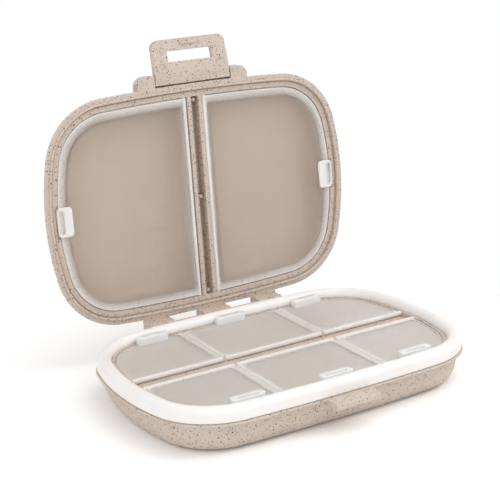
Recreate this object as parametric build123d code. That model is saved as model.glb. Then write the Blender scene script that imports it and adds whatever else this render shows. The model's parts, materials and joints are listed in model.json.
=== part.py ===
from build123d import *
import math
import os

# Rim outline shared by base and lid: two end arcs, two long side arcs, four corner arcs
length = 125.0
width = 85.5
end_radius = 103.3
side_radius = 677.0
corner_radius = 24.9

# Base tray
lip_height = 11.4
lip_thickness = 1.0
wall_inset = 1.8
foot_inset = 3.5
foot_fillet = 6.0
floor_thickness = 1.5
edge_round = 0.45

# Seal ring in its groove
seal_inset = 0.4
seal_width = 5.2
seal_rise = 5.2
seal_foot = 0.8
tongue_inset = 3.4
tongue_width = 1.6
tongue_depth = 3.0

# Inner rim wall and the ledge that the base doors close on
rim_gap = 0.15
rim_width = 1.2
rim_rise = 2.6
door_gap = 0.2
column_gap = 0.12
ledge_width = 2.2
ledge_gap = 0.3

# Middle bar, dividers and compartments
column_x = 20.3
divider_width = 4.2
bar_width = 11.0
pocket_round = 2.0
floor_round = 1.5

# Compartment doors
door_bottom = 1.2
door_thickness = 1.2
pane_recess = 0.3
pane_margin = 0.8
door_edge = 0.2
plug_gap = 0.3
plug_width = 1.0
plug_depth = 1.5
rod_y = 3.9
rod_radius = 0.9
rod_rise = 1.9
pin_radius = 0.45
pin_length = 0.6
pin_gap = 0.05
post_width = 1.0
post_gap = 0.1
notch_gap = 0.2
tab_width = 12.3
tab_depth = 3.6
tab_rise = 2.5
tab_share = 0.3
tab_back = 0.3
tab_gap = 0.4
tab_edge = 0.3
tab_round = 1.5
slot_length = 8.0
slot_width = 1.1
slot_from_edge = 0.7
slot_sink = 1.4

# Lid shell, measured from its rim plane
lid_gap = 5.8
lid_depth = 10.8
land_width = 4.87
land_sink = 0.7
land_groove = 0.5
bead_inset = 1.7
bead_width = 0.8
bead_rise = 0.6
lid_lip = 1.2
lid_wall_inset = 1.4
lid_ledge_width = 3.0
lid_bar_width = 11.2
lid_door_sink = 1.0
lid_rod_x = 4.0
lid_rod_radius = 0.7
lid_rod_sink = 1.6
lid_rail_inner = 1.5
lid_rail_width = 1.5
lid_rail_sink = 0.6
lid_channel = 2.5
lid_tab_length = 10.8
lid_tab_reach = 0.5
lid_tab_depth = 5.9
lid_slot_length = 8.6
lid_slot_width = 2.1
notch_depth = 1.5
lid_tab_gap = 0.35
lid_door_gap = 0.3

# Lid hinge
open_angle = 92.44
hinge_back = 2.43
hinge_rise = 1.96
knuckle_radius = 2.1
base_knuckle_radius = 1.5
hinge_pin_radius = 0.9
leaf_half = 28.2
gap_inner = 5.8
gap_outer = 18.2
knuckle_gap = 0.3
leaf_rise = 2.2
leaf_edge_gap = 0.34

# Latch flap, its ears and the catch ledge
flap_width = 30.7
flap_length = 14.7
flap_thickness = 2.4
flap_taper = 0.65
flap_forward = 1.5
flap_bend = 2.2
flap_tilt = 11.0
flap_round = 2.7
barrel_radius = 1.0
skirt_reach = 1.4
skirt_half = 0.5
latch_back = 1.84
latch_sink = 1.1
latch_pin_radius = 0.55
web_gap = 0.15
web_rise = 3.0
ear_gap = 0.35
ear_width = 6.9
ear_rise = 4.2
ear_sink = 0.1
ear_depth = 4.2
ear_round = 3.6
window_width = 18.4
window_height = 4.1
window_reach = 8.5
bump_width = 7.2
bump_height = 1.6
bump_rise = 0.6
bump_reach = 13.3
catch_width = 17.4
catch_height = 2.4
catch_reach = 5.4
catch_edge = 0.4
catch_sink = 0.1

half_width = width / 2
end_centre = length / 2 - end_radius
side_centre = half_width - side_radius
seal_inner = seal_inset + seal_width
rim_outer = seal_inner + rim_gap
rim_inner = rim_outer + rim_width
door_inset = rim_inner + door_gap
pocket_inset = rim_inner + ledge_width
end_x = end_centre + math.sqrt((end_radius - rim_inner) ** 2 - (rod_y + rod_radius) ** 2)
ledge_height = lip_height + door_bottom - ledge_gap
plate_top = door_bottom + door_thickness
hinge_y = half_width + hinge_back
hinge_z = lip_height + hinge_rise
lid_plane = lip_height + lid_gap
latch_y = half_width + latch_back
tab_x = column_x + tab_share * (length / 2 - column_x)


def corner_centre():
    # Where a corner arc is tangent to both the end arc and the long side arc
    end_reach = end_radius - corner_radius
    side_reach = side_radius - corner_radius
    gap = math.hypot(end_centre, side_centre)
    along = (end_reach**2 - side_reach**2 + gap**2) / (2 * gap)
    across = math.sqrt(end_reach**2 - along**2)
    across_x = -side_centre / gap
    across_y = -end_centre / gap
    return end_centre + along * across_y + across * across_x, across * across_y - along * across_x


def outline(inset):
    # Face bounded by the rim outline, moved inwards
    x, y = corner_centre()
    low = math.degrees(math.atan2(y, x - end_centre))
    high = math.degrees(math.atan2(y - side_centre, x))
    corner = corner_radius - inset
    ends = end_radius - inset
    sides = side_radius - inset
    arcs = [
        CenterArc((end_centre, 0), ends, -low, 2 * low),
        CenterArc((x, y), corner, low, high - low),
        CenterArc((0, side_centre), sides, high, 180 - 2 * high),
        CenterArc((-x, y), corner, 180 - high, high - low),
        CenterArc((-end_centre, 0), ends, 180 - low, 2 * low),
        CenterArc((-x, -y), corner, 180 + low, high - low),
        CenterArc((0, -side_centre), sides, 180 + high, 180 - 2 * high),
        CenterArc((x, -y), corner, 360 - high, high - low),
    ]
    return Face(Wire(arcs))


def slab(inset, low, high):
    return extrude(Pos(0, 0, low) * outline(inset), amount=high - low, dir=(0, 0, 1))


def ring(outer, inner, low, high):
    return slab(outer, low, high) - slab(inner, low, high)


def block(x0, x1, y0, y1, z0, z1):
    centre = Pos((x0 + x1) / 2, (y0 + y1) / 2, (z0 + z1) / 2)
    return centre * Box(x1 - x0, y1 - y0, z1 - z0)


def rod_along_x(x0, x1, y, z, radius):
    return Pos((x0 + x1) / 2, y, z) * Rot(0, 90, 0) * Cylinder(radius, x1 - x0)


def rod_along_y(y0, y1, x, z, radius):
    return Pos(x, (y0 + y1) / 2, z) * Rot(90, 0, 0) * Cylinder(radius, y1 - y0)


def tray(lower_inset, upper_inset, low, high):
    # Solid tray body that leans outwards and has a large round at its foot
    taper = math.degrees(math.atan2(upper_inset - lower_inset, high - low))
    body = extrude(Pos(0, 0, low) * outline(lower_inset), amount=high - low, dir=(0, 0, 1), taper=taper)
    return fillet(body.edges().group_by(Axis.Z)[0], foot_fillet)


def column_span(column):
    # Compartment limits along the length for the middle (0) or right (1) column
    if column == 0:
        return -column_x + divider_width / 2, column_x - divider_width / 2
    return column_x + divider_width / 2, length


def pocket(column):
    # One rear compartment as a solid to be cut from the tray
    x0, x1 = column_span(column)
    top = ledge_height + 1
    cell = slab(pocket_inset, floor_thickness, top) & block(x0, x1, bar_width / 2, width, 0, 2 * top)
    cell = fillet(cell.edges().filter_by(Axis.Z), pocket_round)
    return fillet(cell.edges().group_by(Axis.Z)[0], floor_round)


def four_ways(shape):
    sides = [shape, mirror(shape, about=Plane.YZ)]
    return sides + [mirror(side, about=Plane.XZ) for side in sides]


def tab_notches():
    # Gaps in the inner rim wall where the finger tabs reach out to the seal
    half = tab_width / 2 + tab_gap
    wall = ring(rim_outer - 1, rim_inner + 1, ledge_height, lip_height + rim_rise + 1)
    middle = wall & block(-half, half, 0, width, 0, 2 * lip_height)
    side = wall & block(tab_x - half, tab_x + half, 0, width, 0, 2 * lip_height)
    return [middle, mirror(middle, about=Plane.XZ)] + four_ways(side)


def base_posts():
    # Bearing posts between the columns on the middle bar
    axis = lip_height + rod_rise
    x0 = column_x - post_width / 2
    post = block(x0, x0 + post_width, rod_y - rod_radius, rod_y + rod_radius, ledge_height - 1, axis)
    post += rod_along_x(x0, x0 + post_width, rod_y, axis, rod_radius)
    return four_ways(post)


def base_bores():
    # Bearing bores for the door pins, in the posts and in the rim wall at both ends
    axis = lip_height + rod_rise
    radius = pin_radius + pin_gap
    inner = column_x - post_width / 2
    bores = []
    for x0, x1 in [(inner, inner + post_width), (end_x - 1, end_x + pin_length)]:
        bores += four_ways(rod_along_x(x0, x1, rod_y, axis, radius))
    return bores


def base_knuckles():
    # Two slim knuckles on a web that grows from the rear lip
    section = Polyline(
        (half_width - 1.6, lip_height - 2.2),
        (hinge_y - 0.8 * base_knuckle_radius, hinge_z - 2 * base_knuckle_radius),
        (hinge_y + 0.8 * base_knuckle_radius, hinge_z - 0.6 * base_knuckle_radius),
        (hinge_y, hinge_z),
        (hinge_y - base_knuckle_radius, hinge_z),
        (hinge_y - base_knuckle_radius, lip_height),
        (half_width - 1.6, lip_height),
        close=True,
    )
    start = gap_inner + knuckle_gap
    end = gap_outer - knuckle_gap
    web = Pos(start, 0, 0) * extrude(make_face(Plane.YZ * section), amount=end - start, dir=(1, 0, 0))
    web += rod_along_x(start, end, hinge_y, hinge_z, base_knuckle_radius)
    web -= rod_along_x(0, leaf_half, hinge_y, hinge_z, hinge_pin_radius)
    return [web, mirror(web, about=Plane.YZ)]


def catch_ledge():
    top = lip_height - catch_sink
    root = -half_width + wall_inset + 0.4
    half = catch_width / 2
    ledge = block(-half, half, -half_width - catch_reach, root, top - catch_height, top)
    return chamfer(ledge.edges().group_by(Axis.Y)[0], catch_edge)


def base_shell():
    under_lip = lip_height - lip_thickness
    body = tray(foot_inset, wall_inset, 0, under_lip)
    lip = slab(0, under_lip, lip_height)
    body += fillet(lip.edges(), edge_round)
    body += slab(rim_outer, lip_height - 1, lip_height + rim_rise)
    body -= ring(tongue_inset, tongue_inset + tongue_width, lip_height - tongue_depth, lip_height + 1)
    body -= slab(rim_inner, ledge_height, lip_height + rim_rise + 1)
    body -= tab_notches()
    body += base_posts()
    body -= base_bores()
    middle = pocket(0)
    body -= [middle, mirror(middle, about=Plane.XZ)]
    body -= four_ways(pocket(1))
    body += catch_ledge()
    body += base_knuckles()
    return body


def seal_ring():
    # Domed silicone ring with a tongue in the groove of the base
    dome = slab(seal_inset, lip_height, lip_height + seal_rise)
    dome = fillet(dome.edges().group_by(Axis.Z)[0], seal_foot)
    dome -= slab(seal_inner, lip_height, lip_height + seal_rise)
    dome = fillet(dome.edges().group_by(Axis.Z)[-1], seal_width / 2 - 0.05)
    tongue = ring(tongue_inset, tongue_inset + tongue_width, lip_height - tongue_depth, lip_height + 0.5)
    return dome + tongue


def grip(wide, deep, low, high, slot):
    # Rounded finger tab with a slot of given length and width, its outer edge on the line y = 0
    body = extrude(Pos(0, -deep / 2, low) * RectangleRounded(wide, deep, tab_round), amount=high - low)
    middle = -slot_from_edge - slot[1] / 2
    cut = extrude(Pos(0, middle, high) * SlotOverall(slot[0], slot[1]), amount=-slot_sink)
    body = fillet(body.edges().group_by(Axis.Z)[-1], tab_edge)
    return body - cut


def edge_y(x, inset):
    # Distance of the rear edge from the middle at a place along the length
    corner_x, corner_y = corner_centre()
    if x > corner_x * (side_radius - inset) / (side_radius - corner_radius):
        return corner_y + math.sqrt((corner_radius - inset) ** 2 - (x - corner_x) ** 2)
    return side_centre + math.sqrt((side_radius - inset) ** 2 - x**2)


def plug_rim(inset, span, low, high):
    # Thin rim under a door that plugs its compartment; the span is its box in the plan
    x0, x1, y0, y1 = span
    outside = slab(inset + plug_gap, low, high)
    outside &= block(x0 + plug_gap, x1 - plug_gap, y0 + plug_gap, y1 - plug_gap, low, high)
    thick = plug_gap + plug_width
    inside = slab(inset + thick, low, high)
    inside &= block(x0 + thick, x1 - thick, y0 + thick, y1 - thick, low, high)
    outside = fillet(outside.edges().filter_by(Axis.Z), pocket_round - plug_gap)
    inside = fillet(inside.edges().filter_by(Axis.Z), pocket_round - thick)
    return outside - inside


def pane_cut(inset, span, high):
    # Shallow recess of the see-through pane, inside the flange of a door
    x0, x1, y0, y1 = span
    cut = slab(inset, high - pane_recess, high + 1)
    cut &= block(x0, x1, y0, y1, high - pane_recess, high + 1)
    return fillet(cut.edges().filter_by(Axis.Z), pocket_round - plug_gap)


def base_door(column):
    # Rear door of the middle or right column: plate, plug rim, rod with pins, finger tab
    axis = lip_height + rod_rise
    low = lip_height + door_bottom
    high = lip_height + plate_top
    start = column_x + post_width / 2 + post_gap
    end = end_x - post_gap
    edges = (column_x + column_gap, length)
    if column == 0:
        start = -column_x + post_width / 2 + post_gap
        end = -start
        edges = (-column_x + column_gap, column_x - column_gap)
    plate = slab(door_inset, low, high) & block(edges[0], edges[1], rod_y, width, low, high)
    clear = rod_y + rod_radius + notch_gap
    plate -= block(-length, start, 0, clear, low - 1, high + 1)
    plate -= block(end, length, 0, clear, low - 1, high + 1)
    plate = fillet(plate.edges().group_by(Axis.Z)[-1], door_edge)
    x0, x1 = column_span(column)
    pane = (x0 + plug_gap, x1 - plug_gap, bar_width / 2 + plug_gap, width)
    door = plate - pane_cut(door_inset + pane_margin, pane, high)
    span = (x0, x1, bar_width / 2, width)
    door += plug_rim(pocket_inset, span, low - plug_depth, low)
    door += rod_along_x(start, end, rod_y, axis, rod_radius)
    pin_reach = post_gap + pin_length / 2
    door += rod_along_x(start - pin_reach, end + pin_reach, rod_y, axis, pin_radius)
    middle = tab_x if column else 0
    tab = grip(tab_width, tab_depth, low, high + tab_rise, (slot_length, slot_width))
    outer_edge = edge_y(middle + tab_width / 2 - tab_round, seal_inner) - tab_back
    door += Pos(middle, outer_edge, 0) * tab
    return door


def lid_pocket():
    # Right compartment of the lid, measured from the rim plane
    inset = land_width + lid_ledge_width
    floor = -lid_depth + floor_thickness
    cell = slab(inset, floor, 0) & block(lid_bar_width / 2, length, -width, width, floor, 0)
    cell = fillet(cell.edges().filter_by(Axis.Z), pocket_round)
    return fillet(cell.edges().group_by(Axis.Z)[0], floor_round)


def lid_rails():
    # Two rails along the middle bar of the lid
    end = half_width - land_width + 0.2
    inner = lid_rail_inner
    rail = block(inner, inner + lid_rail_width, -end, end, lid_ledge() - 1, -lid_rail_sink)
    return [rail, mirror(rail, about=Plane.YZ)]


def lid_ledge():
    return -lid_door_sink - door_thickness - ledge_gap


def lid_leaf():
    # Hinge leaf and three knuckles, in the closed place of the lid
    back = hinge_y + knuckle_radius
    top = lid_plane + leaf_rise
    leaf = block(-leaf_half, leaf_half, half_width + leaf_edge_gap, back, hinge_z, top)
    leaf = fillet(leaf.edges().filter_by(Axis.X).group_by(Axis.Z)[-1].sort_by(Axis.Y)[-1], leaf_rise - 0.4)
    leaf += block(-leaf_half, leaf_half, half_width - 1.8, half_width + 1, lid_plane, top)
    leaf += rod_along_x(-leaf_half, leaf_half, hinge_y, hinge_z, knuckle_radius)
    for side in (-1, 1):
        middle = side * (gap_inner + gap_outer) / 2
        half = (gap_outer - gap_inner) / 2
        leaf -= block(middle - half, middle + half, half_width, back + 1, 0, top + 1)
    leaf -= rod_along_x(-leaf_half, leaf_half, hinge_y, hinge_z, hinge_pin_radius + pin_gap)
    return leaf


def lid_ears():
    # Two ears for the latch pin at the free edge of the lid, and the web between them
    start = flap_width / 2 + ear_gap
    top = half_width + ear_rise
    back = -ear_sink - ear_depth
    ear = block(start, start + ear_width, half_width - 2.4, top, back, -ear_sink)
    ear = fillet(ear.edges().filter_by(Axis.Z).group_by(Axis.Y)[-1].sort_by(Axis.X)[-1], ear_round)
    ear -= rod_along_x(start - 1, start + ear_width + 1, latch_y, -latch_sink, latch_pin_radius)
    front = -latch_sink - math.hypot(skirt_reach, skirt_half) - web_gap
    web = block(-start - 0.5, start + 0.5, half_width - 2.4, half_width + web_rise, back, front)
    return [ear, mirror(ear, about=Plane.YZ), web]


def lid_tray():
    # Lid with its opening up and its rim plane on z = 0
    body = tray(foot_inset, lid_wall_inset, -lid_depth, -lid_lip)
    lip = slab(0, -lid_lip, 0)
    body += fillet(lip.edges(), edge_round)
    bead = ring(bead_inset, bead_inset + bead_width, -0.2, bead_rise)
    body += fillet(bead.edges().group_by(Axis.Z)[-1], bead_width * 0.4)
    step = bead_inset + bead_width
    body -= ring(step, land_width + 1, -land_sink, 1)
    body -= ring(step, step + land_groove, -land_sink - land_groove, 0)
    body -= slab(land_width, lid_ledge(), 1)
    body += lid_rails()
    side = half_width - land_width
    body -= block(-lid_rail_inner, lid_rail_inner, -side, side, lid_ledge() - lid_channel, lid_ledge() + 1)
    bore = rod_along_y(side - 1, side + pin_length, lid_rod_x, -lid_rod_sink, pin_radius + pin_gap)
    body -= four_ways(bore)
    cell = lid_pocket()
    body -= [cell, mirror(cell, about=Plane.YZ)]
    reach = length / 2 - land_width + lid_tab_reach + lid_tab_gap
    half = lid_tab_length / 2 + lid_tab_gap
    notch = block(reach - lid_tab_depth, reach, -half, half, -notch_depth, 1)
    body -= [notch, mirror(notch, about=Plane.YZ)]
    body += lid_ears()
    return body


def lid_door():
    # Right door of the lid: plate, plug rim, rod with pins, finger tab
    high = -lid_door_sink
    low = high - door_thickness
    inset = land_width + lid_door_gap
    end = edge_y(lid_rod_x + lid_rod_radius, land_width) - post_gap
    plate = slab(inset, low, high) & block(lid_rod_x, length, -width, width, low, high)
    plate = fillet(plate.edges().group_by(Axis.Z)[-1], door_edge)
    under = land_width + lid_ledge_width
    pane = (lid_rod_x + lid_rod_radius + plug_gap, length, -width, width)
    door = plate - pane_cut(under + plug_gap, pane, high)
    span = (lid_bar_width / 2, length, -width, width)
    door += plug_rim(under, span, low - plug_depth, low)
    door += rod_along_y(-end, end, lid_rod_x, -lid_rod_sink, lid_rod_radius)
    pin_end = end + post_gap + pin_length / 2
    door += rod_along_y(-pin_end, pin_end, lid_rod_x, -lid_rod_sink, pin_radius)
    slot = (lid_slot_length, lid_slot_width)
    tab = grip(lid_tab_length, lid_tab_depth, high - door_thickness / 4, -pin_gap, slot)
    reach = length / 2 - land_width + lid_tab_reach
    door += Pos(reach, 0, 0) * Rot(0, 0, -90) * tab
    return door


def latch_flap():
    # Latch plate with window and bevelled foot, standing up from its hinge axis
    back = flap_forward - flap_thickness
    section = Polyline(
        (flap_bend, flap_forward),
        (flap_length, flap_forward),
        (flap_length, back),
        (barrel_radius, back),
        (0, -barrel_radius),
        (-skirt_half, -barrel_radius),
        (-skirt_reach, -skirt_half),
        (-skirt_reach, skirt_half),
        close=True,
    )
    plate = extrude(make_face(Plane.YZ * section), amount=flap_width, dir=(1, 0, 0))
    plate = Pos(-flap_width / 2, 0, 0) * plate
    foot = flap_width / 2
    tip = foot - flap_taper
    low = -skirt_reach
    sides = Polyline((-foot, low), (foot, low), (tip, flap_length), (-tip, flap_length), close=True)
    plate &= extrude(make_face(sides), amount=2 * flap_thickness, both=True)
    corners = plate.edges().filter_by(Axis.Z).group_by(Axis.Y)[-1]
    plate = fillet(corners, flap_round)
    window = RectangleRounded(window_width, window_height, edge_round)
    plate -= extrude(Pos(0, window_reach, flap_forward) * window, amount=2 * flap_thickness, both=True)
    bump = Pos(0, bump_reach, 0) * SlotOverall(bump_width, bump_height)
    plate += extrude(bump, amount=flap_forward + bump_rise)
    plate -= rod_along_x(-flap_width, flap_width, 0, 0, latch_pin_radius + pin_gap)
    return plate


def open_lid(shape):
    # Turns a lid piece upside down onto the base and swings it open about the hinge
    swing = Pos(0, hinge_y, hinge_z) * Rot(-open_angle, 0, 0) * Pos(0, -hinge_y, -hinge_z)
    return swing * Pos(0, 0, lid_plane) * Rot(180, 0, 0) * shape


def swing_leaf(shape):
    return Pos(0, hinge_y, hinge_z) * Rot(-open_angle, 0, 0) * Pos(0, -hinge_y, -hinge_z) * shape


def save(shape, node):
    export_step(shape, "parts/" + node + ".step")


os.makedirs("parts", exist_ok=True)
save(base_shell(), "base_shell")
save(seal_ring(), "seal_ring")
save(rod_along_x(-leaf_half + 1, leaf_half - 1, hinge_y, hinge_z, hinge_pin_radius), "lid_hinge_pin")
save(open_lid(lid_tray()) + swing_leaf(lid_leaf()), "lid_shell")
pin_half = flap_width / 2 + ear_gap + ear_width - 0.8
save(open_lid(rod_along_x(-pin_half, pin_half, latch_y, -latch_sink, latch_pin_radius)), "latch_hinge_pin")
flap_place = Pos(0, latch_y, -latch_sink) * Rot(-flap_tilt, 0, 0)
save(open_lid(flap_place * latch_flap()), "latch_flap")
right_door = lid_door()
save(open_lid(right_door), "lid_door_right")
save(open_lid(mirror(right_door, about=Plane.YZ)), "lid_door_left")
middle_door = base_door(0)
save(middle_door, "door_rear_middle")
save(mirror(middle_door, about=Plane.XZ), "door_front_middle")
side_door = base_door(1)
corners = ("rear_right", "rear_left", "front_right", "front_left")
for corner, shape in zip(corners, four_ways(side_door)):
    save(shape, "door_" + corner)
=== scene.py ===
import json
import math
import bpy
import numpy as np
from mathutils import Matrix, Vector


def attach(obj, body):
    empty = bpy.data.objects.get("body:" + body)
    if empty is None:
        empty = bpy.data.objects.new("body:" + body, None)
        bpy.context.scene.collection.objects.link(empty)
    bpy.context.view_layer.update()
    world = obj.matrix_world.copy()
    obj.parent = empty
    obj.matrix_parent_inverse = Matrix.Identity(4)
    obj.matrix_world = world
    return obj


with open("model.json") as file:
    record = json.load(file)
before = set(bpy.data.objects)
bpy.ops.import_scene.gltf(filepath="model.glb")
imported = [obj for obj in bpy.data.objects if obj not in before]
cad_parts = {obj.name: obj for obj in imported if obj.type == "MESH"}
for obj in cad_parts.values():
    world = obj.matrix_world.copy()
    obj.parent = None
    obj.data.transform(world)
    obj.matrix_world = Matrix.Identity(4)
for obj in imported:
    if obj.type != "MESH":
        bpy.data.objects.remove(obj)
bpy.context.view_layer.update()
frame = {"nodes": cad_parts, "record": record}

nodes = frame["nodes"]
print("frame loaded:", len(nodes), "nodes")


def linearColour(hexColour):
    # sRGB hex to linear RGBA
    srgb = [int(hexColour[i:i + 2], 16) / 255 for i in (1, 3, 5)]
    return [v / 12.92 if v <= 0.04045 else ((v + 0.055) / 1.055) ** 2.4 for v in srgb] + [1.0]


def addNode(tree, kind, links=(), inputs=(), **settings):
    # one node: its settings, its fixed inputs, and links given as (own input, other socket)
    node = tree.nodes.new(kind)
    for key, value in settings.items():
        setattr(node, key, value)
    for key, value in inputs:
        node.inputs[key].default_value = value
    for key, socket in links:
        tree.links.new(socket, node.inputs[key])
    return node


def newMaterial(name, **sockets):
    # empty Principled material with its constants set on the shader itself
    material = bpy.data.materials.new(name)
    material.use_nodes = True
    shader = material.node_tree.nodes["Principled BSDF"]
    for key, value in sockets.items():
        shader.inputs[key.replace("_", " ")].default_value = value
    return material, material.node_tree, shader


tintStops = (0.3, 0.7)  # most of a noise pattern lies between these


def patternedSurface(tree, shader, cloud, tints, grain, roughness, spread):
    # base colour between two tints after one noise, and roughness after another: from the middle value
    # less the first spread to the middle value plus the second
    ramp = addNode(tree, "ShaderNodeValToRGB", [("Fac", cloud.outputs["Fac"])])
    for element, position, tint in zip(ramp.color_ramp.elements, tintStops, tints):
        element.position = position
        element.color = linearColour(tint)
    tree.links.new(ramp.outputs["Color"], shader.inputs["Base Color"])
    rough = addNode(tree, "ShaderNodeMapRange", [("Value", grain.outputs["Fac"])],
                    [("To Min", roughness - spread[0]), ("To Max", roughness + spread[1])])
    tree.links.new(rough.outputs["Result"], shader.inputs["Roughness"])


# Wheat-straw polypropylene, injection moulded: matte warm beige with dark husk flecks in the melt
straw = {"beige": "#c6b5a8", "pale": "#d4c6ba", "mottleMm": 5.0, "mottleDetail": 6.0, "mottleRoughness": 0.7,
         "grainMm": 0.35, "roughness": 0.5, "spread": (0.06, 0.08), "index": 1.49,
         "bumpStrength": 0.12, "bumpDepth": 0.0002, "fleckEdge": 0.05, "fleckCover": 0.95,
         "flecks": [{"tint": "#b8a190", "cellMm": 0.45, "reach": 0.45, "empty": 0.1},
                    {"tint": "#5e4c41", "cellMm": 0.7, "reach": 0.34, "empty": 0.4},
                    {"tint": "#0c0807", "cellMm": 0.8, "reach": 0.36, "empty": 0.3}]}


def strawPolypropylene():
    material, tree, shader = newMaterial("wheatStrawPolypropylene", IOR=straw["index"])
    coords = addNode(tree, "ShaderNodeTexCoord").outputs["Object"]
    mottle = addNode(tree, "ShaderNodeTexNoise", [("Vector", coords)],
                     [("Scale", 1000 / straw["mottleMm"]), ("Detail", straw["mottleDetail"]),
                      ("Roughness", straw["mottleRoughness"])])
    base = addNode(tree, "ShaderNodeMix", [("Factor", mottle.outputs["Fac"])], data_type="RGBA")
    base.inputs["A"].default_value = linearColour(straw["beige"])
    base.inputs["B"].default_value = linearColour(straw["pale"])
    colour = base.outputs["Result"]
    # each fleck layer: one ball per cell, its radius from the cell's own random number, some cells empty
    for fleck in straw["flecks"]:
        cells = addNode(tree, "ShaderNodeTexVoronoi", [("Vector", coords)],
                        [("Scale", 1000 / fleck["cellMm"]), ("Randomness", 1.0)])
        split = addNode(tree, "ShaderNodeSeparateColor", [("Color", cells.outputs["Color"])])
        radius = addNode(tree, "ShaderNodeMapRange", [("Value", split.outputs["Red"])],
                         [("From Min", fleck["empty"]), ("From Max", 1.0),
                          ("To Min", 0.0), ("To Max", fleck["reach"])])
        edge = addNode(tree, "ShaderNodeMath",
                       [(0, radius.outputs["Result"]), (1, cells.outputs["Distance"])], operation="SUBTRACT")
        spot = addNode(tree, "ShaderNodeMapRange", [("Value", edge.outputs["Value"])],
                       [("From Min", 0.0), ("From Max", straw["fleckEdge"]),
                        ("To Min", 0.0), ("To Max", straw["fleckCover"])])
        mix = addNode(tree, "ShaderNodeMix", [("Factor", spot.outputs["Result"]), ("A", colour)],
                      data_type="RGBA")
        mix.inputs["B"].default_value = linearColour(fleck["tint"])
        colour = mix.outputs["Result"]
    tree.links.new(colour, shader.inputs["Base Color"])
    grain = addNode(tree, "ShaderNodeTexNoise", [("Vector", coords)], [("Scale", 1000 / straw["grainMm"])])
    rough = addNode(tree, "ShaderNodeMapRange", [("Value", grain.outputs["Fac"])],
                    [("To Min", straw["roughness"] - straw["spread"][0]),
                     ("To Max", straw["roughness"] + straw["spread"][1])])
    tree.links.new(rough.outputs["Result"], shader.inputs["Roughness"])
    bump = addNode(tree, "ShaderNodeBump", [("Height", grain.outputs["Fac"])],
                   [("Strength", straw["bumpStrength"]), ("Distance", straw["bumpDepth"])])
    tree.links.new(bump.outputs["Normal"], shader.inputs["Normal"])
    return material


# Natural polypropylene with an eroded (frosted) face: the thin pane lets light through but no picture,
# the flange round it turns milky towards its outer edge, and light bleeds through the thick tab
frosted = {"hazeMm": 9.0, "hazeDetail": 3.0, "grainMm": 0.5, "spread": (0.05, 0.08), "bleedMm": 3.0,
           "lidPane": {"name": "frostedLidPane", "low": "#fbf8f4", "high": "#fdfbf8",
                       "transmission": 0.95, "roughness": 0.5, "index": 1.2},
           "basePane": {"name": "frostedBasePane", "low": "#f6efe9", "high": "#f9f4ee",
                        "transmission": 0.54, "roughness": 0.3, "index": 1.3},
           "lidRim": {"name": "milkyLidFlange", "low": "#f3eeea", "high": "#f8f5f2",
                      "transmission": 0.15, "inner": 0.9, "roughness": 0.28, "index": 1.25},
           "baseRim": {"name": "milkyBaseFlange", "low": "#f7f2ee", "high": "#fbf8f5",
                       "transmission": 0.24, "inner": 0.5, "roughness": 0.28, "index": 1.35},
           "tab": {"name": "milkyTab", "low": "#fbf9f7", "high": "#fefdfb",
                   "transmission": 0.1, "bleed": 0.7, "roughness": 0.3, "index": 1.35}}


def frostedPolypropylene(zone):
    material, tree, shader = newMaterial(zone["name"], IOR=zone["index"],
                                         Transmission_Weight=zone["transmission"],
                                         Subsurface_Weight=zone.get("bleed", 0.0),
                                         Subsurface_Radius=(1, 1, 1),
                                         Subsurface_Scale=frosted["bleedMm"] / 1000)
    coords = addNode(tree, "ShaderNodeTexCoord").outputs["Object"]
    haze = addNode(tree, "ShaderNodeTexNoise", [("Vector", coords)],
                   [("Scale", 1000 / frosted["hazeMm"]), ("Detail", frosted["hazeDetail"])])
    grain = addNode(tree, "ShaderNodeTexNoise", [("Vector", coords)], [("Scale", 1000 / frosted["grainMm"])])
    patternedSurface(tree, shader, haze, (zone["low"], zone["high"]), grain, zone["roughness"],
                     frosted["spread"])
    if "inner" in zone:
        # a flange goes from its inner transmission, at the pane, to its own one, by the share at each vertex
        share = addNode(tree, "ShaderNodeAttribute", attribute_name="flangeShare")
        clear = addNode(tree, "ShaderNodeMapRange", [("Value", share.outputs["Fac"])],
                        [("To Min", zone["inner"]), ("To Max", zone["transmission"])])
        tree.links.new(clear.outputs["Result"], shader.inputs["Transmission Weight"])
    return material


# White liquid silicone rubber, moulded: soft satin, light bleeds a little at thin places
silicone = {"white": "#f8f5f3", "shade": "#f2eeeb", "cloudMm": 14.0, "cloudDetail": 3.0, "roughness": 0.38,
            "spread": (0.04, 0.06), "index": 1.41, "bleed": 0.12, "bleedMm": 2.0}


def whiteSilicone():
    material, tree, shader = newMaterial("whiteSiliconeRubber", IOR=silicone["index"],
                                         Subsurface_Weight=silicone["bleed"],
                                         Subsurface_Scale=silicone["bleedMm"] / 1000)
    coords = addNode(tree, "ShaderNodeTexCoord").outputs["Object"]
    cloud = addNode(tree, "ShaderNodeTexNoise", [("Vector", coords)],
                    [("Scale", 1000 / silicone["cloudMm"]), ("Detail", silicone["cloudDetail"])])
    patternedSurface(tree, shader, cloud, (silicone["shade"], silicone["white"]), cloud,
                     silicone["roughness"], silicone["spread"])
    return material


# Drawn stainless wire, cut to length: fine scratches along the pin
drawnWire = {"bright": "#b9b9ba", "dull": "#9c9c9e", "scratchMm": 0.25, "scratchDetail": 3.0,
             "stretch": (0.05, 1.0, 1.0), "roughness": 0.32, "spread": (0.07, 0.1)}


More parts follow.
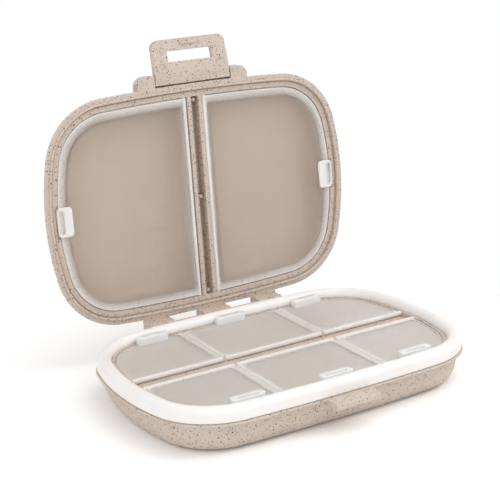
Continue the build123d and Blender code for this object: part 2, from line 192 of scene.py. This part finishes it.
def drawnSteel():
    material, tree, shader = newMaterial("drawnStainlessSteel", Metallic=1.0)
    coords = addNode(tree, "ShaderNodeTexCoord").outputs["Object"]
    along = addNode(tree, "ShaderNodeMapping", [("Vector", coords)], [("Scale", drawnWire["stretch"])])
    scratch = addNode(tree, "ShaderNodeTexNoise", [("Vector", along.outputs["Vector"])],
                      [("Scale", 1000 / drawnWire["scratchMm"]), ("Detail", drawnWire["scratchDetail"])])
    patternedSurface(tree, shader, scratch, (drawnWire["dull"], drawnWire["bright"]), scratch,
                     drawnWire["roughness"], drawnWire["spread"])
    return material


finishes = {"straw_plastic": strawPolypropylene(), "white_silicone": whiteSilicone(),
            "steel_pin": drawnSteel()}
tabFinish = frostedPolypropylene(frosted["tab"])
# doors by the first word of their node: outer side, how far a tab stands proud of the pane,
# width of the flange, finishes of flange and pane
doorKinds = {"lid": {"outward": (0, -1, 0), "proud": 0.0005, "flange": 0.003,
                     "rim": frostedPolypropylene(frosted["lidRim"]),
                     "pane": frostedPolypropylene(frosted["lidPane"])},
             "door": {"outward": (0, 0, 1), "proud": 0.0008, "flange": 0.0022,
                      "rim": frostedPolypropylene(frosted["baseRim"]),
                      "pane": frostedPolypropylene(frosted["basePane"])}}
# how flat a face counts as lying in a plane, decimals of a metre that tell levels and corners apart,
# and the most rounds of joining neighbours
patchTest = {"flatCosine": 0.999, "levelDigits": 5, "cornerDigits": 6, "rounds": 400}


def cornerKeys(places):
    # one number per place, the same where two places agree
    rounded = np.round(places, patchTest["cornerDigits"])
    return np.unique(rounded, axis=0, return_inverse=True)[1].ravel()


def vertexPlaces(mesh):
    places = np.empty(len(mesh.vertices) * 3)
    mesh.vertices.foreach_get("co", places)
    return places.reshape(-1, 3)


def doorZones(mesh, outward, proud):
    # 1 on the pane, the largest flat patch of each side (faces of one plane that share corners),
    # 2 on the tab, which stands proud of the pane on the outer side, and 0 on flange, rod and rim
    count = len(mesh.polygons)
    normals = np.empty(count * 3)
    centres = np.empty(count * 3)
    areas = np.empty(count)
    corners = np.empty(len(mesh.loops), dtype=int)
    mesh.polygons.foreach_get("normal", normals)
    mesh.polygons.foreach_get("center", centres)
    mesh.polygons.foreach_get("area", areas)
    mesh.loops.foreach_get("vertex_index", corners)
    normals, centres = normals.reshape(-1, 3), centres.reshape(-1, 3)
    spots = cornerKeys(vertexPlaces(mesh))[corners]
    owner = np.repeat(np.arange(count), [face.loop_total for face in mesh.polygons])
    facing = normals[np.argmax(areas)]
    facing = facing * np.sign(facing @ np.array(outward))
    zones = np.zeros(count, dtype=np.int32)
    for side in (facing, -facing):
        flat = normals @ side > patchTest["flatCosine"]
        level = np.round(centres @ side, patchTest["levelDigits"])
        best = 0.0
        for height in np.unique(level[flat]):
            inPlane = flat & (level == height)
            keep = inPlane[owner]
            label = np.arange(spots.max() + 1)
            # every face hands the lowest label of its corners to all of them, until nothing changes
            for joining in range(patchTest["rounds"]):
                lowest = np.full(count, label.size)
                np.minimum.at(lowest, owner, label[spots])
                fresh = label.copy()
                np.minimum.at(fresh, spots[keep], lowest[owner][keep])
                if np.array_equal(fresh, label):
                    break
                label = fresh
            lowest = np.full(count, label.size)
            np.minimum.at(lowest, owner, label[spots])
            for patch in np.unique(lowest[inPlane]):
                members = inPlane & (lowest == patch)
                if areas[members].sum() > best:
                    best = areas[members].sum()
                    winner = members
        zones[winner] = 1
    outerLevel = (centres @ facing)[zones == 1].max()
    zones[centres @ facing > outerLevel + proud] = 2
    return zones, facing


def flangeShare(mesh, zones, facing, width):
    # 0 at the edge of the pane to 1 at one flange width from it: the square of the distance of each vertex
    # from the nearest edge of the pane, in flange widths, both seen along the outer normal
    places = vertexPlaces(mesh)
    places = places - np.outer(places @ facing, facing)
    keys = cornerKeys(places)
    uses = {}
    for face in mesh.polygons:
        if zones[face.index] == 1 and np.array(face.normal) @ facing > 0:
            corners = list(face.vertices)
            for a, b in zip(corners, corners[1:] + corners[:1]):
                uses.setdefault(tuple(sorted((keys[a], keys[b]))), []).append((a, b))
    edges = np.array([pairs[0] for pairs in uses.values() if len(pairs) == 1])
    start, run = places[edges[:, 0]], places[edges[:, 1]] - places[edges[:, 0]]
    along = ((places[:, None] - start) * run).sum(axis=2) / (run * run).sum(axis=1)
    nearest = start + np.clip(along, 0, 1)[:, :, None] * run
    distance = np.linalg.norm(places[:, None] - nearest, axis=2).min(axis=1)
    return np.clip(distance / width, 0, 1) ** 2


for part in frame["record"]["subparts"]:
    piece = nodes[part["node"]]
    piece.data.materials.clear()
    if part["material_slot"] == "frosted_plastic":
        kind = doorKinds[part["node"].split("_")[0]]
        for finish in (kind["rim"], kind["pane"], tabFinish):
            piece.data.materials.append(finish)
        zones, facing = doorZones(piece.data, kind["outward"], kind["proud"])
        piece.data.polygons.foreach_set("material_index", zones)
        share = piece.data.attributes.new("flangeShare", "FLOAT", "POINT")
        share.data.foreach_set("value", flangeShare(piece.data, zones, facing, kind["flange"]))
    else:
        piece.data.materials.append(finishes[part["material_slot"]])


def turnedSurface(name, profile, centre, axis, body, capped=False, steps=48):
    # surface of revolution: point (u, v) is the centre plus the profile radius at v, turned by the angle u
    # about the axis, plus the profile height at v along the axis; the profile runs up the outside and then
    # inwards, and either closes on itself or is closed by a flat disc at each end
    up = np.array(axis) / np.linalg.norm(axis)
    across = np.array((1.0, 0.0, 0.0))
    along = np.cross(up, across)
    angle = np.linspace(0, 2 * math.pi, steps, endpoint=False)
    radial = np.cos(angle)[:, None] * across + np.sin(angle)[:, None] * along
    points = np.array(centre) + profile[None, :, :1] * radial[:, None, :] + profile[None, :, 1:] * up
    rows = profile.shape[0]
    ring, row = np.meshgrid(np.arange(steps), np.arange(rows - 1 if capped else rows), indexing="ij")
    beside, above = (ring + 1) % steps * rows, (row + 1) % rows
    faces = np.stack([ring * rows + row, beside + row, beside + above, ring * rows + above], axis=-1)
    faces = faces.reshape(-1, 4).tolist()
    if capped:
        faces.append(list(range(rows - 1, steps * rows, rows)))
        faces.append(list(range(0, steps * rows, rows))[::-1])
    mesh = bpy.data.meshes.new(name)
    mesh.from_pydata(points.reshape(-1, 3).tolist(), [], faces)
    mesh.polygons.foreach_set("use_smooth", np.ones(len(mesh.polygons), dtype=bool))
    piece = bpy.data.objects.new(name, mesh)
    bpy.context.scene.collection.objects.link(piece)
    mesh.materials.append(finishes["straw_plastic"])
    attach(piece, body)


towardsFront = -0.9  # most that the Y part of a normal may be on a face that looks to the front

# Two round ejector marks on the front of the flap: a low raised ring each, its section half an ellipse
ejector = {"x": 0.01205, "z": 0.10764, "radius": 0.00175, "halfWidth": 0.00026, "rise": 0.0003,
           "sink": 0.0001, "sectionPoints": 13}
flapFaces = nodes["latch_flap"].data.polygons
front = max((face for face in flapFaces if face.normal.y < towardsFront), key=lambda face: face.area)
slope = front.normal
sweep = np.linspace(0, math.pi, ejector["sectionPoints"])
arch = np.stack([ejector["radius"] + ejector["halfWidth"] * np.cos(sweep),
                 ejector["rise"] * np.sin(sweep)], axis=1)
foot = np.array((0, ejector["sink"]))
ringProfile = np.vstack([arch[:1] - foot, arch, arch[-1:] - foot])
for side, x in (("left", -ejector["x"]), ("right", ejector["x"])):
    y = front.center.y - (ejector["z"] - front.center.z) * slope.z / slope.y
    turnedSurface("ejectorMark_" + side, ringProfile, (x, y, ejector["z"]), slope, "latch")
print("flap marks made")

# Three round stubs on the floor of the channel in the middle bar of the lid, each with a dimple in its top
stub = {"reach": 0.0365, "radius": 0.00075, "round": 0.0002, "height": 0.0034, "dimple": 0.00022,
        "sink": 0.0001, "channelHalf": 0.0016, "sameLevel": 1e-5, "roundPoints": 7, "dishPoints": 8,
        "dishCentre": 0.08}
lidMesh = nodes["lid_shell"].data


def halfSpan(face):
    # farthest corner of a face from the middle plane
    return max(abs(lidMesh.vertices[i].co.x) for i in face.vertices)


inChannel = [face for face in lidMesh.polygons
             if face.normal.y < towardsFront and halfSpan(face) < stub["channelHalf"]]
deepest = max(inChannel, key=lambda face: face.area)
channelFloor = [face for face in inChannel
                if abs((face.center - deepest.center).dot(deepest.normal)) < stub["sameLevel"]]
spots = np.array([lidMesh.vertices[i].co for face in channelFloor for i in face.vertices])
middle = (spots.min(axis=0) + spots.max(axis=0)) / 2
alongLid = np.cross((1.0, 0.0, 0.0), deepest.normal)
sweep = np.linspace(0, math.pi / 2, stub["roundPoints"])
shoulder = np.stack([stub["radius"] - stub["round"] * (1 - np.cos(sweep)),
                     stub["height"] - stub["round"] * (1 - np.sin(sweep))], axis=1)
share = np.linspace(1, stub["dishCentre"], stub["dishPoints"])
dish = np.stack([share * (stub["radius"] - 2 * stub["round"]),
                 stub["height"] - stub["dimple"] * (1 - share ** 2)], axis=1)
stubProfile = np.vstack([[(stub["radius"], -stub["sink"])], shoulder, dish])
for place, shift in (("low", -stub["reach"]), ("middle", 0.0), ("high", stub["reach"])):
    centre = middle + shift * alongLid
    turnedSurface("channelStub_" + place, stubProfile, centre, deepest.normal, "lid", capped=True)
print("channel stubs made")

# Camera at the photograph's view: angles in degrees, distances in metres, focal length in its pixels
shot = {"azimuth": -29.66, "elevation": 16.55, "roll": -2.88, "distance": 0.440, "focalPixels": 1256.5,
        "widthPixels": 500, "sensorMm": 36.0, "target": (-0.00261, 0.01298, 0.04774)}
az, el, roll = (math.radians(shot[key]) for key in ("azimuth", "elevation", "roll"))
back = Vector((math.sin(az) * math.cos(el), -math.cos(az) * math.cos(el), math.sin(el)))
right = Vector((math.cos(az), math.sin(az), 0))
up = back.cross(right)
tiltedRight = math.cos(roll) * right + math.sin(roll) * up
tiltedUp = -math.sin(roll) * right + math.cos(roll) * up
cameraData = bpy.data.cameras.new("photoCamera")
cameraData.sensor_width = shot["sensorMm"]
cameraData.lens = shot["focalPixels"] / shot["widthPixels"] * shot["sensorMm"]
camera = bpy.data.objects.new("photoCamera", cameraData)
bpy.context.scene.collection.objects.link(camera)
turn = Matrix((tiltedRight, tiltedUp, back)).transposed().to_4x4()
camera.matrix_world = Matrix.Translation(Vector(shot["target"]) + back * shot["distance"]) @ turn
bpy.context.scene.camera = camera

# Studio: pale floor that reads white to the camera but keeps the shadow near the box, and an even sky
studio = {"floorSize": 6.0, "floorDrop": 0.0002, "floorGrey": "#fdfcfb", "floorRoughness": 0.95,
          "floorSeen": 1.17, "fadeStart": 0.08, "fadeEnd": 0.13, "skyStrength": 0.66}


def seenDirectly(tree):
    # 1 on rays from the camera, from a mirror-like face or through a clear one, else 0
    path = addNode(tree, "ShaderNodeLightPath").outputs
    seen = path["Is Camera Ray"]
    for ray in ("Is Glossy Ray", "Is Transmission Ray"):
        either = addNode(tree, "ShaderNodeMath", [(0, seen), (1, path[ray])], operation="MAXIMUM")
        seen = either.outputs["Value"]
    return seen


floorMesh = bpy.data.meshes.new("studioFloor")
half = studio["floorSize"] / 2
floorCorners = [(-half, -half, 0), (half, -half, 0), (half, half, 0), (-half, half, 0)]
floorMesh.from_pydata(floorCorners, [], [(0, 1, 2, 3)])
floor = bpy.data.objects.new("studioFloor", floorMesh)
bpy.context.scene.collection.objects.link(floor)
floor.location = (0, 0, -studio["floorDrop"])
floorMaterial, tree, shader = newMaterial("paleStudioFloor", Roughness=studio["floorRoughness"],
                                          Specular_IOR_Level=0.0)
seen = seenDirectly(tree)
tone = addNode(tree, "ShaderNodeMix", [("Factor", seen)], data_type="RGBA")
tone.inputs["A"].default_value = linearColour(studio["floorGrey"])
tone.inputs["B"].default_value = [studio["floorSeen"]] * 3 + [1.0]
tree.links.new(tone.outputs["Result"], shader.inputs["Base Color"])
coords = addNode(tree, "ShaderNodeTexCoord").outputs["Object"]
away = addNode(tree, "ShaderNodeVectorMath", [(0, coords)], operation="LENGTH")
fade = addNode(tree, "ShaderNodeMapRange", [("Value", away.outputs["Value"])],
               [("From Min", studio["fadeStart"]), ("From Max", studio["fadeEnd"])],
               interpolation_type="SMOOTHSTEP")
gate = addNode(tree, "ShaderNodeMath", [(0, fade.outputs["Result"]), (1, seen)], operation="MULTIPLY")
paper = addNode(tree, "ShaderNodeEmission", inputs=[("Strength", 1.0)])
blend = addNode(tree, "ShaderNodeMixShader", [(0, gate.outputs["Value"]), (1, shader.outputs["BSDF"]),
                                              (2, paper.outputs["Emission"])])
tree.links.new(blend.outputs["Shader"], tree.nodes["Material Output"].inputs["Surface"])
floorMesh.materials.append(floorMaterial)

world = bpy.data.worlds.new("studioSky")
bpy.context.scene.world = world
world.use_nodes = True
tree = world.node_tree
sky = tree.nodes["Background"]
glow = addNode(tree, "ShaderNodeMapRange", [("Value", seenDirectly(tree))],
               [("To Min", studio["skyStrength"]), ("To Max", 1.0)])
tree.links.new(glow.outputs["Result"], sky.inputs["Strength"])
sky.inputs["Color"].default_value = (1, 1, 1, 1)

# Soft square lamps: key from above, side from the right, fill from the left
lamps = {"keyLamp": {"place": (0.42, -0.22, 1.1), "aim": (0, 0, 0.04), "size": 1.2, "watts": 4.8},
         "sideLamp": {"place": (0.85, -0.55, 0.8), "aim": (0, 0, 0.05), "size": 0.35, "watts": 1.9},
         "fillLamp": {"place": (-0.85, -0.6, 0.5), "aim": (0, 0, 0.04), "size": 1.2, "watts": 3.6}}
for name, lamp in lamps.items():
    light = bpy.data.lights.new(name, "AREA")
    light.size = lamp["size"]
    light.energy = lamp["watts"]
    holder = bpy.data.objects.new(name, light)
    bpy.context.scene.collection.objects.link(holder)
    aimBack = Vector(lamp["place"]) - Vector(lamp["aim"])
    facingAim = aimBack.to_track_quat("Z", "Y").to_matrix().to_4x4()
    holder.matrix_world = Matrix.Translation(lamp["place"]) @ facingAim
bpy.context.scene.view_settings.view_transform = "Standard"
print("camera, floor and lights set")
